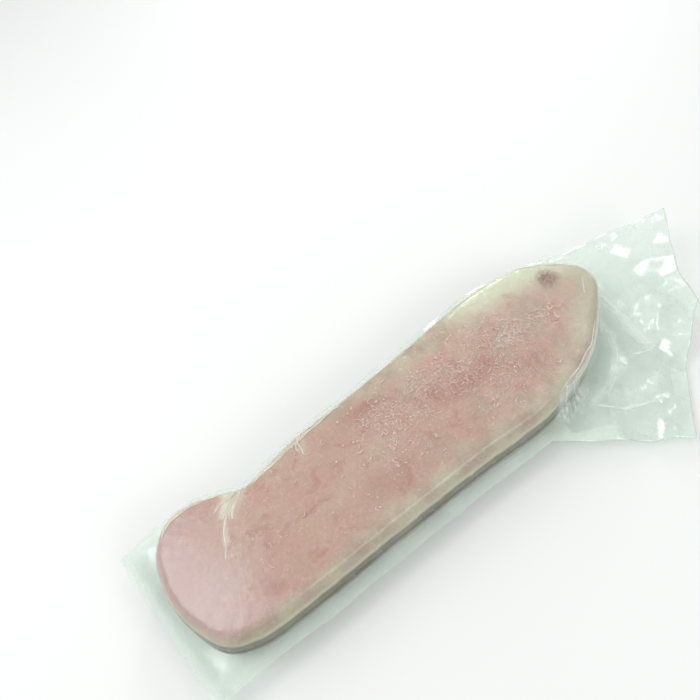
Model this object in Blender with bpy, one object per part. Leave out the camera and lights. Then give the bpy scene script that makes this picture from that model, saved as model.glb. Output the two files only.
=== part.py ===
# A frozen raw tuna loin, vacuum packed in a clear film pouch, lying on its flat underside.
# Metres, +Z up. +X runs along the loin to its narrow tip and +Y is its straighter side.
# The origin is the middle of the flat underside that the loin rests on.
import math

import bmesh
import bpy
from mathutils import Vector

# Driving dimensions
LOIN_LENGTH = 0.500
LOIN_WIDTH = 0.144
LOIN_HEIGHT = 0.054
SEAM_HEIGHT = 0.024      # where the two sheets of film meet at the loin's side
TOP_SHOULDER = 0.012     # how far in from the side the top is rounded
LOWER_SHOULDER = 0.012   # the same at the underside
FILM_THICKNESS = 0.0012  # both sheets of the film, pressed together
SIDE_MARGIN = 0.014      # film that stands out along the two long sides
NEAR_MARGIN = 0.014      # film past the blunt end
MARGIN_HEIGHT = 0.020    # height of the film's edge along the sides
CROWN = 0.0016           # how much fuller the top is along its middle
SWELLING = 0.0011        # unevenness of the top
TIP_DROP = 0.007         # how much lower the top is at the tip
BLUNT_DROP = 0.005       # and at the blunt end
RIPPLE_HEIGHT = 0.0016   # waves of the film along the sides
RIPPLE_REACH = 0.012     # distance from the loin at which they are at full height
FOLD_HEIGHT = 0.0045     # folds of the loose tail, which spread from the tip
FOLD_REACH = 0.10        # distance from the loin at which they are at full height

# Mesh sizes
STEP_AROUND = 0.0135
OUTER_RINGS = (1.0, 0.76, 0.5, 0.26, 0.0)  # shares of the way from the loin's side to the film's edge
SHOULDER_RINGS = 5
INNER_RINGS = (0.36, 0.72, 1.0)            # shares of the way from the shoulder to the spine loop
SPINE_LOOP = 0.12                          # size of the innermost loop, as a share of the outline
SPINE_START = 0.15                         # where that loop begins and ends, as shares of the length
SPINE_END = 0.86

# The loin seen from above, as shares of its length and width: blunt end, straighter side, tip, fuller side
BLUNT_END = ((0.008, -0.115), (0.000, 0.100), (0.016, 0.345))
STRAIGHT_SIDE = (
    (0.044, 0.470), (0.080, 0.525), (0.120, 0.520), (0.168, 0.462), (0.208, 0.402),
    (0.256, 0.415), (0.340, 0.458), (0.470, 0.472), (0.610, 0.500), (0.746, 0.535), (0.836, 0.526),
)
TIP = (
    (0.894, 0.485), (0.950, 0.372), (0.990, 0.238), (1.000, 0.122),
    (0.988, 0.018), (0.956, -0.098), (0.914, -0.215), (0.860, -0.335), (0.784, -0.424),
)
FULL_SIDE = (
    (0.690, -0.466), (0.536, -0.438), (0.342, -0.424), (0.180, -0.418), (0.088, -0.396), (0.032, -0.300),
)

# Corners of the pouch; its loose tail is swung towards the fuller side, with one corner standing up
NEAR_CORNER_STRAIGHT = Vector((-NEAR_MARGIN, 0.088, 0.012))
NEAR_CORNER_FULL = Vector((-NEAR_MARGIN, -0.070, 0.012))
TAIL_CORNER_STRAIGHT = Vector((0.608, 0.020, 0.044))
TAIL_END_MIDDLE = Vector((0.568, -0.066, 0.015))
TAIL_CORNER_FULL = Vector((0.448, -0.160, 0.005))

# The middle of the underside, seen from the blunt end and the line Y = 0 of the shares above
MIDDLE = Vector((LOIN_LENGTH / 2, 0.03 * LOIN_WIDTH, 0.0))


def on_loin(shares):
    """A point of the outline in metres, measured from the blunt end and the line Y = 0."""
    return Vector((shares[0] * LOIN_LENGTH, shares[1] * LOIN_WIDTH))


def normal_at(points, i):
    """The outward direction at a point of a closed outline that runs clockwise seen from above."""
    along = points[(i + 1) % len(points)] - points[i - 1]
    return Vector((-along.y, along.x)).normalized()


def key_points():
    """The loin's outline and, for each of its points, the partner on the pouch's edge."""
    loin = [on_loin(p) for p in (*BLUNT_END, *STRAIGHT_SIDE, *TIP, *FULL_SIDE)]
    first_side = len(BLUNT_END)
    first_tip = first_side + len(STRAIGHT_SIDE)
    first_full = first_tip + len(TIP)

    def beside(i):
        p = loin[i] + normal_at(loin, i) * SIDE_MARGIN
        return Vector((p.x, p.y, MARGIN_HEIGHT))

    film = [Vector((-NEAR_MARGIN, p.y, NEAR_CORNER_FULL.z)) for p in loin[:first_side]]
    film.append(NEAR_CORNER_STRAIGHT)
    film.extend(beside(i) for i in range(first_side + 1, first_tip))
    # Round the tip the partners lie on the tail: its straighter side, its sealed end and its fuller side
    start = film[-1]
    finish = beside(first_full)
    film.append(start.lerp(TAIL_CORNER_STRAIGHT, 0.45))
    film.append(start.lerp(TAIL_CORNER_STRAIGHT, 0.80))
    film.append(TAIL_CORNER_STRAIGHT)
    film.append(TAIL_CORNER_STRAIGHT.lerp(TAIL_END_MIDDLE, 0.50))
    film.append(TAIL_END_MIDDLE)
    film.append(TAIL_END_MIDDLE.lerp(TAIL_CORNER_FULL, 0.50))
    film.append(TAIL_CORNER_FULL)
    film.append(TAIL_CORNER_FULL.lerp(finish, 0.45))
    film.append(TAIL_CORNER_FULL.lerp(finish, 0.80))
    film.append(finish)
    film.extend(beside(i) for i in range(first_full + 1, len(loin) - 1))
    film.append(NEAR_CORNER_FULL)
    return loin, film


def smooth_between(points, i, t):
    """A point on the smooth closed curve through the outline's points (Catmull-Rom)."""
    count = len(points)
    a, b, c, d = (points[(i + k) % count] for k in (-1, 0, 1, 2))
    bend = 2 * a - 5 * b + 4 * c - d
    twist = 3 * b - a - 3 * c + d
    return 0.5 * (2 * b + (c - a) * t + bend * t ** 2 + twist * t ** 3)


def edge_pairs():
    """Pairs of a point on the loin's side and one on the film's edge, all the way round."""
    loin, film = key_points()
    pairs = []
    for i in range(len(loin)):
        j = (i + 1) % len(loin)
        span = max((loin[j] - loin[i]).length, 0.8 * (film[j] - film[i]).length)
        pieces = max(1, round(span / STEP_AROUND))
        for k in range(pieces):
            t = k / pieces
            pairs.append((smooth_between(loin, i, t), film[i].lerp(film[j], t)))
    return pairs


def spine_point(p):
    """The point of the innermost loop that faces outline point p."""
    x = min(max(p.x, SPINE_START * LOIN_LENGTH), SPINE_END * LOIN_LENGTH)
    return Vector((x, MIDDLE.y)).lerp(p, SPINE_LOOP)


def swell(x, y):
    """The gentle unevenness of frozen flesh, from -1 to 1."""
    return (
        0.45 * math.sin(x * 31.0 + y * 17.0 + 0.6)
        + 0.33 * math.sin(x * 58.0 - y * 41.0 + 2.1)
        + 0.22 * math.sin(x * 23.0 + y * 88.0 + 4.0)
    )


def loin_top(x, y):
    """Height of the loin's upper face: full in the middle, lower towards the tip and the blunt end."""
    along = x / LOIN_LENGTH
    near_tip = max(0.0, (along - 0.62) / 0.38)
    near_blunt = max(0.0, (0.14 - along) / 0.14)
    off_middle = min(1.0, abs(y - MIDDLE.y) / (LOIN_WIDTH / 2))
    drop = TIP_DROP * near_tip ** 1.6 + BLUNT_DROP * near_blunt ** 2 + CROWN * off_middle ** 2
    return LOIN_HEIGHT - drop + SWELLING * swell(x, y)


def rounded(share):
    """Rise of a rounded edge, from 0 at the side to 1 where the face is flat."""
    power = 2.5
    return (1.0 - max(0.0, 1.0 - share) ** power) ** (1.0 / power)


def film_point(side, edge, share):
    """A point of the middle of the film, the given share of the way from the loin to the film's edge."""
    plan = side.lerp(edge.xy, share)
    out = (plan - side).length
    height = SEAM_HEIGHT + (edge.z - SEAM_HEIGHT) * share
    bearing = math.atan2(plan.y, plan.x - SPINE_END * LOIN_LENGTH)
    folds = math.sin(8.0 * bearing + 0.6) + 0.5 * math.sin(17.0 * bearing + 2.0)
    height += FOLD_HEIGHT * folds * min(1.0, out / FOLD_REACH) ** 1.3
    height += RIPPLE_HEIGHT * math.sin(plan.x * 96.0 + 0.8) * min(1.0, out / RIPPLE_REACH)
    return Vector((plan.x, plan.y, max(FILM_THICKNESS, height)))


def ring_points(pairs, upper):
    """The rings of the upper or lower half, from the film's edge to the spine loop."""
    half = FILM_THICKNESS / 2 if upper else -FILM_THICKNESS / 2
    shoulder = TOP_SHOULDER if upper else LOWER_SHOULDER
    rings = []
    for share in OUTER_RINGS:
        rings.append([film_point(side, edge, share) + Vector((0, 0, half)) for side, edge in pairs])

    def on_face(p, inside):
        share = rounded(inside / shoulder)
        if upper:
            low = SEAM_HEIGHT + half
            return Vector((p.x, p.y, low + (loin_top(p.x, p.y) - low) * share))
        return Vector((p.x, p.y, (SEAM_HEIGHT + half) * (1.0 - share)))

    depths = [
        shoulder * (1.0 - math.cos(0.5 * math.pi * k / SHOULDER_RINGS))
        for k in range(1, SHOULDER_RINGS + 1)
    ]
    for inside in depths:
        ring = []
        for side, _ in pairs:
            inward = spine_point(side) - side
            ring.append(on_face(side + inward.normalized() * inside, inside))
        rings.append(ring)
    for share in INNER_RINGS:
        ring = []
        for side, _ in pairs:
            inner = spine_point(side)
            start = side + (inner - side).normalized() * shoulder
            ring.append(on_face(start.lerp(inner, share), shoulder))
        rings.append(ring)
    return rings


def closed_loop(bm, points):
    """The vertices of a closed loop of edges, moved so that the origin is the middle of the underside."""
    verts = [bm.verts.new(p - MIDDLE) for p in points]
    for i, vert in enumerate(verts):
        bm.edges.new((verts[i - 1], vert))
    return verts


def bridge(bm, first, second, closed=True):
    """Faces between two rows of vertices that edges join into loops or open chains."""
    edges = []
    for verts in (first, second):
        nexts = verts[1:] + verts[:1] if closed else verts[1:]
        edges.extend(bm.edges.get(pair) for pair in zip(verts, nexts))
    bmesh.ops.bridge_loops(bm, edges=edges)


def close_spine(bm, loop):
    """Closes the innermost loop with a strip from one long side to the other and a triangle at each end."""
    tip = max(range(len(loop)), key=lambda i: loop[i].co.x)
    loop = loop[tip:] + loop[:tip]
    blunt = len(loop) // 2
    bridge(bm, loop[1:blunt], loop[blunt + 1:], closed=False)
    bmesh.ops.contextual_create(bm, geom=(loop[-1], loop[0], loop[1]))
    bmesh.ops.contextual_create(bm, geom=loop[blunt - 1:blunt + 2])


def build_pack():
    """The whole pack as one closed solid: the loin and the film margin that stands out round it."""
    pairs = edge_pairs()
    bm = bmesh.new()
    top = [closed_loop(bm, ring) for ring in ring_points(pairs, True)]
    bottom = [closed_loop(bm, ring) for ring in ring_points(pairs, False)]
    for loops in (top, bottom):
        for outer, inner in zip(loops, loops[1:]):
            bridge(bm, outer, inner)
        close_spine(bm, loops[-1])
    bridge(bm, top[0], bottom[0])
    bmesh.ops.recalc_face_normals(bm, faces=bm.faces)
    mesh = bpy.data.meshes.new("sealed_loin")
    bm.to_mesh(mesh)
    bm.free()
    mesh.shade_smooth()
    mesh.set_sharp_from_angle(angle=math.radians(50))
    pack = bpy.data.objects.new("sealed_loin", mesh)
    bpy.context.scene.collection.objects.link(pack)
    return pack


def frozen_flesh_under_film():
    """Dull pink frozen tuna seen through glossy film."""
    material = bpy.data.materials.new("frozen_tuna_under_film")
    material.use_nodes = True
    shader = material.node_tree.nodes["Principled BSDF"]
    shader.inputs["Base Color"].default_value = (0.56, 0.36, 0.31, 1.0)
    shader.inputs["Roughness"].default_value = 0.38
    shader.inputs["Metallic"].default_value = 0.0
    return material


for old in list(bpy.data.objects):
    bpy.data.objects.remove(old)
build_pack().data.materials.append(frozen_flesh_under_film())
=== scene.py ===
import math
import random

import bmesh
import bpy
import numpy as np
from mathutils import Matrix, Vector, noise
from mathutils.bvhtree import BVHTree


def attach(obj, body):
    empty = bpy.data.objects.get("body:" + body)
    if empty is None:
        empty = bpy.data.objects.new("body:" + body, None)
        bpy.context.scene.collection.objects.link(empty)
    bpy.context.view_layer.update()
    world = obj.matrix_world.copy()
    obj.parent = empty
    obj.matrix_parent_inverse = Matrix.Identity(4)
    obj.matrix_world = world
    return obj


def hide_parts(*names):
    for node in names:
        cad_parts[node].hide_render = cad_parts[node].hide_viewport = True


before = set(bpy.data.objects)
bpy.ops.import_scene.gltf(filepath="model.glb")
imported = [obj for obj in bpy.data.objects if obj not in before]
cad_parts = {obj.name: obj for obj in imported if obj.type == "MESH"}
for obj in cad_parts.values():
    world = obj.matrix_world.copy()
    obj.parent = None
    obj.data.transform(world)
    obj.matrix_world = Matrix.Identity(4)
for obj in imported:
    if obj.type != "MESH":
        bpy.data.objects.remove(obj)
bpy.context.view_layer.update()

tidyDice = random.Random(11)

# Metres. x runs along the loin to its tip, y to its straighter side, z up from the flat underside
loinForm = {
    "length": 0.500,
    "width": 0.144,
    "height": 0.054,
    "seamHeight": 0.024,      # where the two sheets of film meet
    "topShoulder": 0.012,
    "lowerShoulder": 0.012,
    "shoulderPower": 2.5,
    "crown": 0.0016,
    "swelling": 0.0011,
    "swells": ((0.45, 31.0, 17.0, 0.6), (0.33, 58.0, -41.0, 2.1), (0.22, 23.0, 88.0, 4.0)),
    "tipDrop": 0.007,
    "tipFrom": 0.62,          # the top falls from here to the tip, and from bluntTo to the blunt end
    "tipPower": 1.6,
    "bluntDrop": 0.005,
    "bluntTo": 0.14,
    "middleShare": 0.03,      # the middle of the underside, as a share of the width
    "spineStart": 0.15,       # the spine's ends, as shares of the length
    "spineEnd": 0.86,
    "spineShare": 0.02,       # the last ring stops at this share of the way from spine to side
}

# Seen from above, as shares of length and width
bluntEnd = ((0.008, -0.115), (0.000, 0.100), (0.016, 0.345))
straightSide = (
    (0.044, 0.470), (0.080, 0.525), (0.120, 0.520), (0.168, 0.462), (0.208, 0.402),
    (0.256, 0.415), (0.340, 0.458), (0.470, 0.472), (0.610, 0.500), (0.746, 0.535), (0.836, 0.526),
)
tipCurve = (
    (0.894, 0.485), (0.950, 0.372), (0.990, 0.238), (1.000, 0.122),
    (0.988, 0.018), (0.956, -0.098), (0.914, -0.215), (0.860, -0.335), (0.784, -0.424),
)
fullSide = (
    (0.690, -0.466), (0.536, -0.438), (0.342, -0.424), (0.180, -0.418), (0.088, -0.396), (0.032, -0.300),
)

pouchForm = {
    "sideMargin": 0.014,
    "nearMargin": 0.014,
    "marginHeight": 0.020,
    "nearStraight": (-0.014, 0.088, 0.012),
    "nearFull": (-0.014, -0.070, 0.012),
    "tailStraight": (0.608, 0.020, 0.044),
    "tailMiddle": (0.568, -0.066, 0.015),
    "tailFull": (0.448, -0.160, 0.005),
    "tailSteps": (0.45, 0.80),    # points along the tail's long edges
    "edgeWeight": 0.8,         # how far the film's edge sets the spacing of the pairs
    "straightNotch": 0.006,    # the tail's end edges curve in between their corners
    "fullNotch": 0.009,
    "notchPower": 0.8,
    "rippleHeight": 0.0016,
    "rippleReach": 0.012,
    "foldHeight": 0.0045,
    "foldReach": 0.10,
    "cling": 0.00035,          # film over flesh
    "sealWidth": 0.008,
    "airGap": 0.0011,          # between the sheets, past the seal
}


def middleShift():
    return np.array([loinForm["length"] / 2, loinForm["middleShare"] * loinForm["width"], 0.0])


def unit(vectors):
    return vectors / np.linalg.norm(vectors, axis=1)[:, None]


def flat3(plan, z=0.0):
    return np.column_stack([plan, np.full(len(plan), z) if np.isscalar(z) else z])


# Smooth curve from b to c, t from 0 to 1
def curveBetween(a, b, c, d, t):
    square, cube = 2 * a - 5 * b + 4 * c - d, 3 * b - a - 3 * c + d
    return 0.5 * (2 * b + (c - a) * t + square * t ** 2 + cube * t ** 3)


def keyPoints():
    shares = np.array([*bluntEnd, *straightSide, *tipCurve, *fullSide])
    loin = shares * (loinForm["length"], loinForm["width"])
    along = np.roll(loin, -1, 0) - np.roll(loin, 1, 0)
    outward = unit(np.stack([-along[:, 1], along[:, 0]], 1))
    film = flat3(loin + outward * pouchForm["sideMargin"], pouchForm["marginHeight"])
    firstSide = len(bluntEnd)
    firstTip = firstSide + len(straightSide)
    firstFull = firstTip + len(tipCurve)
    for i in range(firstSide):
        film[i] = (-pouchForm["nearMargin"], loin[i, 1], pouchForm["nearFull"][2])
    film[firstSide] = pouchForm["nearStraight"]
    film[-1] = pouchForm["nearFull"]
    straight, middle, full = (np.array(pouchForm[k]) for k in ("tailStraight", "tailMiddle", "tailFull"))
    start, finish = film[firstTip - 1], film[firstFull]
    near, far = pouchForm["tailSteps"]
    film[firstTip:firstFull] = (
        start + (straight - start) * near, start + (straight - start) * far, straight,
        (straight + middle) / 2, middle, (middle + full) / 2, full,
        full + (finish - full) * near, full + (finish - full) * far,
    )
    return loin, film


# Pairs of a point on the loin's side and one on the film's edge, closer together round the tail
def pairsAround(count, tailDensity=1.0):
    loin, film = keyPoints()
    firstTip = len(bluntEnd) + len(straightSide)
    loinSpan = np.linalg.norm(np.roll(loin, -1, 0) - loin, axis=1)
    filmSpan = np.linalg.norm((np.roll(film, -1, 0) - film)[:, :2], axis=1)
    spans = np.maximum(loinSpan, pouchForm["edgeWeight"] * filmSpan)
    spans[firstTip - 1:firstTip + len(tipCurve)] *= tailDensity
    ends = np.concatenate([[0.0], np.cumsum(spans)])
    at = np.linspace(0.0, ends[-1], count, endpoint=False)
    segment = np.searchsorted(ends, at, side="right") - 1
    t = ((at - ends[segment]) / spans[segment])[:, None]
    side = curveBetween(*(loin[(segment + k) % len(loin)] for k in (-1, 0, 1, 2)), t)
    edge = film[segment] * (1 - t) + film[(segment + 1) % len(film)] * t
    notches = ((firstTip + 2, pouchForm["straightNotch"]), (firstTip + 4, pouchForm["fullNotch"]))
    for corner, notch in notches:
        share = np.clip((segment + t[:, 0] - corner) / 2, 0.0, 1.0)
        inward = unit(side - edge[:, :2])
        edge[:, :2] += inward * (notch * np.sin(math.pi * share) ** pouchForm["notchPower"])[:, None]
    return side, edge


def noiseAt(points, size, seed=0.0):
    return np.array([noise.noise(p) for p in (points / size + seed).tolist()])


# Straight slopes between sharp crests, as creased film has
def foldWave(turns):
    return np.abs(2 * (turns - np.floor(turns)) - 1) * 2 - 1


def smoothStep(low, high, value):
    t = np.clip((value - low) / (high - low), 0.0, 1.0)
    return t * t * (3 - 2 * t)


# How strongly soft round zones reach each point, 0 to 1
def zonesAt(plan, zones):
    total = np.zeros(len(plan))
    for (cx, cy), (rx, ry), strength in zones:
        total += strength * np.exp(-((plan[:, 0] - cx) / rx) ** 2 - ((plan[:, 1] - cy) / ry) ** 2)
    return np.minimum(1.0, total)


# Points from the loin's spine, at share 0, to its side, at share 1
def spinePoints(side, share):
    start, end = loinForm["spineStart"] * loinForm["length"], loinForm["spineEnd"] * loinForm["length"]
    x = np.clip(side[:, 0], start, end)
    spine = np.column_stack([x, np.full(len(x), middleShift()[1])])
    return spine * (1 - share) + side * share


# Height of the loin's top, before its edge is rounded
def loinTop(plan):
    x, y = plan[:, 0], plan[:, 1]
    along = x / loinForm["length"]
    tipFrom, bluntTo = loinForm["tipFrom"], loinForm["bluntTo"]
    nearTip = np.maximum(0.0, (along - tipFrom) / (1 - tipFrom))
    nearBlunt = np.maximum(0.0, (bluntTo - along) / bluntTo)
    offMiddle = np.minimum(1.0, np.abs(y - middleShift()[1]) / (loinForm["width"] / 2))
    drop = loinForm["tipDrop"] * nearTip ** loinForm["tipPower"] + loinForm["bluntDrop"] * nearBlunt ** 2
    drop = drop + loinForm["crown"] * offMiddle ** 2
    swell = sum(share * np.sin(x * a + y * b + start) for share, a, b, start in loinForm["swells"])
    return loinForm["height"] - drop + loinForm["swelling"] * swell


# A grid whose columns run round the loin and whose rows are rings, sewn into one closed skin.
# Each zone layer holds four numbers for every point, which the material reads
def skinFromRings(name, rings, zoneLayers):
    rowCount, columnCount = rings.shape[:2]
    bm = bmesh.new()
    for zoneName in zoneLayers:
        bm.verts.layers.float_color.new(zoneName)
    bmesh.ops.create_grid(bm, x_segments=columnCount, y_segments=rowCount - 1, size=1.0)
    bm.verts.ensure_lookup_table()

    # the first column comes again as the last one, where the skin is sewn
    def wrapped(values):
        return np.concatenate([values, values[:, :1]], 1).reshape(-1, values.shape[2]).tolist()

    for vert, place in zip(bm.verts, wrapped(rings)):
        vert.co = place
    for zoneName, zones in zoneLayers.items():
        layer = bm.verts.layers.float_color[zoneName]
        for vert, zone in zip(bm.verts, wrapped(zones)):
            vert[layer] = zone
    seam = [bm.verts[r * (columnCount + 1) + c] for r in range(rowCount) for c in (0, columnCount)]
    bmesh.ops.remove_doubles(bm, verts=seam, dist=1e-7)
    for row in (rings[0], rings[-1]):
        closeSpine(bm, row)
    bmesh.ops.recalc_face_normals(bm, faces=bm.faces)
    return pieceFromBmesh(name, bm)


def meshFromBmesh(name, bm):
    mesh = bpy.data.meshes.new(name)
    bm.to_mesh(mesh)
    bm.free()
    return mesh


def pieceFromBmesh(name, bm, smooth=True):
    mesh = meshFromBmesh(name, bm)
    if smooth:
        mesh.shade_smooth()
    piece = bpy.data.objects.new(name, mesh)
    bpy.context.scene.collection.objects.link(piece)
    return piece


def openEdges(bm):
    return [e for e in bm.edges if len(e.link_faces) == 1]


# The innermost ring is a long narrow loop: a strip joins its two sides, and a small face closes each end
def closeSpine(bm, row):
    z = row[:, 2].mean()
    heightRange = 0.02        # tells the upper loop from the lower one
    loopEdges = [e for e in openEdges(bm) if abs(e.verts[0].co.z - z) < heightRange]
    verts = {v for e in loopEdges for v in e.verts}
    tip = max(verts, key=lambda v: v.co.x)
    blunt = min(verts, key=lambda v: v.co.x)
    sides = [e for e in loopEdges if tip not in e.verts and blunt not in e.verts]
    bmesh.ops.bridge_loops(bm, edges=sides)
    bmesh.ops.holes_fill(bm, edges=openEdges(bm), sides=8)


# Depths and rises of the rings that round an edge
def ringDepths(shoulder, count):
    turn = np.linspace(0.0, 0.5 * math.pi, count + 1)[1:]
    bend = 2 / loinForm["shoulderPower"]
    return shoulder * (1 - np.clip(np.cos(turn), 0.0, 1.0) ** bend), np.sin(turn) ** bend


# The loin's upper or lower half, from its side to the spine: for each ring its plan,
# its rise from 0 to 1 and its distance from the side
def faceRings(side, shoulder, shoulderCount, innerCount):
    inward = spinePoints(side, loinForm["spineShare"]) - side
    reach = np.linalg.norm(inward, axis=1)
    inward = inward / reach[:, None]
    rings = []
    for depth, rise in zip(*ringDepths(shoulder, shoulderCount)):
        rings.append((side + inward * depth, np.full(len(side), rise), np.full(len(side), depth)))
    for share in np.linspace(0.0, 1.0, innerCount + 1)[1:]:
        depth = shoulder + (reach - shoulder) * share
        rings.append((side + inward * depth[:, None], np.ones(len(side)), depth))
    return rings


def bothHalves(side, form):
    top = faceRings(side, loinForm["topShoulder"], form["topShoulderRings"], form["topInnerRings"])
    low = faceRings(side, loinForm["lowerShoulder"], form["lowerShoulderRings"], form["lowerInnerRings"])
    return top, low


fleshForm = {
    "around": 700,
    "topShoulderRings": 12,
    "topInnerRings": 50,
    "lowerShoulderRings": 8,
    "lowerInnerRings": 12,
    "inset": 0.0005,          # flesh lies this far inside the film
    "edgeWander": ((0.0006, 0.020, 3.1), (0.0004, 0.007, 8.2)),   # height, size and seed
    # the cut side's colour is painted shade, reaching in from the side this far
    "topSide": (0.0000, 0.0026),    # where the cut side's colour ends, in from the side
    "lowerSide": (0.004, 0.012),
    "lumpHeight": 0.0007,
    "lumpSize": 0.016,
    "grainHeight": 0.00022,
    "grainSize": 0.0035,
    "cutHeight": 0.0007,      # uneven knife cuts on the sides
    "cutSize": 0.009,
    "cutStretch": (1.0, 1.0, 3.0),
    "borderFade": (0.30, 1.45),     # as shares of the pale border's width
    "ragged": ((0.25, 0.022, 2.2), (0.12, 0.006, 4.4)),     # share, size and seed
    "spot": (0.2065, 0.0315),   # dark vessel mark near the tip
    "spotRadius": 0.0110,
}

# Width of the pale border along x, on the straighter side and on the fuller side
straightBorder = (
    (-0.260, 0.002), (-0.170, 0.003), (-0.150, 0.010), (-0.086, 0.012), (-0.034, 0.018), (0.019, 0.022),
    (0.054, 0.024), (0.100, 0.026), (0.144, 0.036), (0.174, 0.038), (0.205, 0.036), (0.250, 0.034),
)
fullBorder = (
    (-0.260, 0.004), (-0.180, 0.010), (-0.100, 0.015), (0.035, 0.018),
    (0.100, 0.020), (0.141, 0.025), (0.176, 0.034), (0.250, 0.038),
)


def borderWidth(plan):
    straightness = smoothStep(-0.015, 0.020, plan[:, 1])
    straight = np.interp(plan[:, 0], *zip(*straightBorder))
    full = np.interp(plan[:, 0], *zip(*fullBorder))
    return straight * straightness + full * (1 - straightness)


# Redder patches of the flesh: place, reach and strength
blushZones = (
    ((0.066, -0.004), (0.034, 0.010), 1.0),
    ((0.028, 0.008), (0.020, 0.008), 0.6),
    ((-0.025, 0.038), (0.022, 0.010), 0.8),
    ((0.120, -0.024), (0.018, 0.010), 0.5),
    ((-0.215, 0.035), (0.022, 0.020), 0.4),
    ((0.170, 0.006), (0.014, 0.012), 0.4),
    ((-0.060, -0.030), (0.034, 0.012), 0.4),
)


def makeLoin():
    f = fleshForm
    side, _ = pairsAround(f["around"])
    wander = sum(height * noiseAt(flat3(side), size, seed) for height, size, seed in f["edgeWander"])
    away = unit(side - spinePoints(side, 0.0))
    side = side - away * (f["inset"] - wander)[:, None]
    topRings, lowRings = bothHalves(side, f)
    seam = loinForm["seamHeight"]
    rings, insides, sideness = [], [], []
    for plan, rise, inside in reversed(topRings):
        rings.append(flat3(plan, seam + (loinTop(plan) - f["inset"] - seam) * rise))
        insides.append(inside)
        sideness.append(1 - smoothStep(*f["topSide"], inside))
    rings.append(flat3(side, seam))
    insides.append(np.zeros(len(side)))
    sideness.append(np.ones(len(side)))
    for plan, rise, inside in lowRings:
        rings.append(flat3(plan, f["inset"] + (seam - f["inset"]) * (1 - rise)))
        insides.append(inside)
        sideness.append(1 - smoothStep(*f["lowerSide"], inside))
    points = np.concatenate(rings) - middleShift()
    insides = np.concatenate(insides)
    sideness = np.concatenate(sideness)

    # relief: soft lumps and frozen grain on top, knife cuts on the side, nothing on the underside
    isTop = smoothStep(seam, seam + loinForm["topShoulder"], points[:, 2])
    lumps = noiseAt(points, f["lumpSize"], 1.7) * f["lumpHeight"]
    grain = noiseAt(points, f["grainSize"], 5.3) * f["grainHeight"]
    points[:, 2] += isTop * (1 - sideness) * (lumps + grain)
    cuts = np.maximum(0.0, noiseAt(points * f["cutStretch"], f["cutSize"], 9.9)) * f["cutHeight"]
    points[:, :2] -= np.tile(away, (len(rings), 1)) * (cuts * sideness)[:, None]

    plan = points[:, :2]
    ragged = 1.0 + sum(share * noiseAt(points, size, seed) for share, size, seed in f["ragged"])
    border = np.maximum(borderWidth(plan) * ragged, 1e-5)
    cream = 1 - smoothStep(*f["borderFade"], insides / border)
    fromSpot = np.hypot(*(plan - f["spot"]).T) / f["spotRadius"]
    spot = (1 - smoothStep(0.25, 1.5, fromSpot)) * isTop
    ring = np.exp(-((fromSpot - 0.45) / 0.50) ** 2) * isTop
    zones = np.column_stack([cream, sideness, spot, zonesAt(plan, crinkleZones) * isTop])
    gathered = foldHaze(plan, gatheredHaze) * isTop
    tones = np.column_stack([zonesAt(plan, blushZones), ring, gathered, np.ones(len(plan))])
    count = len(rings)
    piece = skinFromRings("tuna_loin", points.reshape(count, -1, 3), {
        "fleshZones": zones.reshape(count, -1, 4),
        "fleshTones": tones.reshape(count, -1, 4),
    })
    print("loin:", len(piece.data.polygons), "faces")
    return piece


filmForm = {
    "around": 740,
    "tailDensity": 1.9,
    "upperRings": 44,
    "lowerRings": 30,
    "topShoulderRings": 13,
    "topInnerRings": 20,
    "lowerShoulderRings": 8,
    "lowerInnerRings": 3,
    "sheetHalf": 0.0004,      # half the seam's thickness at the loin
    "leastThickness": 0.0003,
    "leastHeight": 0.0009,    # over the floor
    "unevenHeight": 0.0004,
    "unevenSize": 0.010,
    "gatherHeight": 0.0008,   # short wrinkles running in from the seam
    "gatherReach": 0.018,
    "gatherSize": 0.0075,
    "crinkleHeights": (0.00015, 0.00025),   # everywhere, and more in the crinkle zones
    "crinkleSize": 0.005,
    "fanFolds": 0.0036,       # creases running out from the tip
    "crushedPlace": (0.134, -0.0720),
    "crushedReach": (0.017, 0.0085),
    "crushedHeight": 0.0027,
    "looseFrom": 0.010,       # the loose facets grow between these distances from the loin
    "looseTo": 0.080,
    "looseFacets": (
        # direction, wave length, height, start
        ((0.93, 0.36), 0.068, 0.0032, 0.20),
        ((0.30, -0.95), 0.047, 0.0028, 0.65),
        ((0.71, -0.70), 0.029, 0.0014, 0.10),
        ((-0.15, 0.99), 0.018, 0.0006, 0.45),
    ),
    "sealHaze": 0.12,
    "foldHaze": (0.0020, 0.30),     # reach and strength of the milky bands beside the folds
    "straightHaze": (0.0028, 0.25),
    "tipHaze": (0.0022, 1.25),
    "gatheredShare": 0.35,    # how milky the film itself is where it is gathered
}

# Zones of the film where it is finely crinkled over the frost: place, reach along x and y, strength
crinkleZones = (
    ((0.091, 0.007), (0.036, 0.026), 1.0),
    ((0.128, 0.012), (0.030, 0.020), 0.7),
    ((0.055, 0.018), (0.032, 0.018), 0.7),
    ((0.100, -0.030), (0.040, 0.014), 0.5),
    ((0.010, 0.010), (0.040, 0.022), 0.55),
    ((-0.020, 0.020), (0.026, 0.016), 0.6),
    ((-0.020, -0.020), (0.035, 0.020), 0.35),
    ((0.175, 0.000), (0.025, 0.018), 0.45),
)


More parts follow.
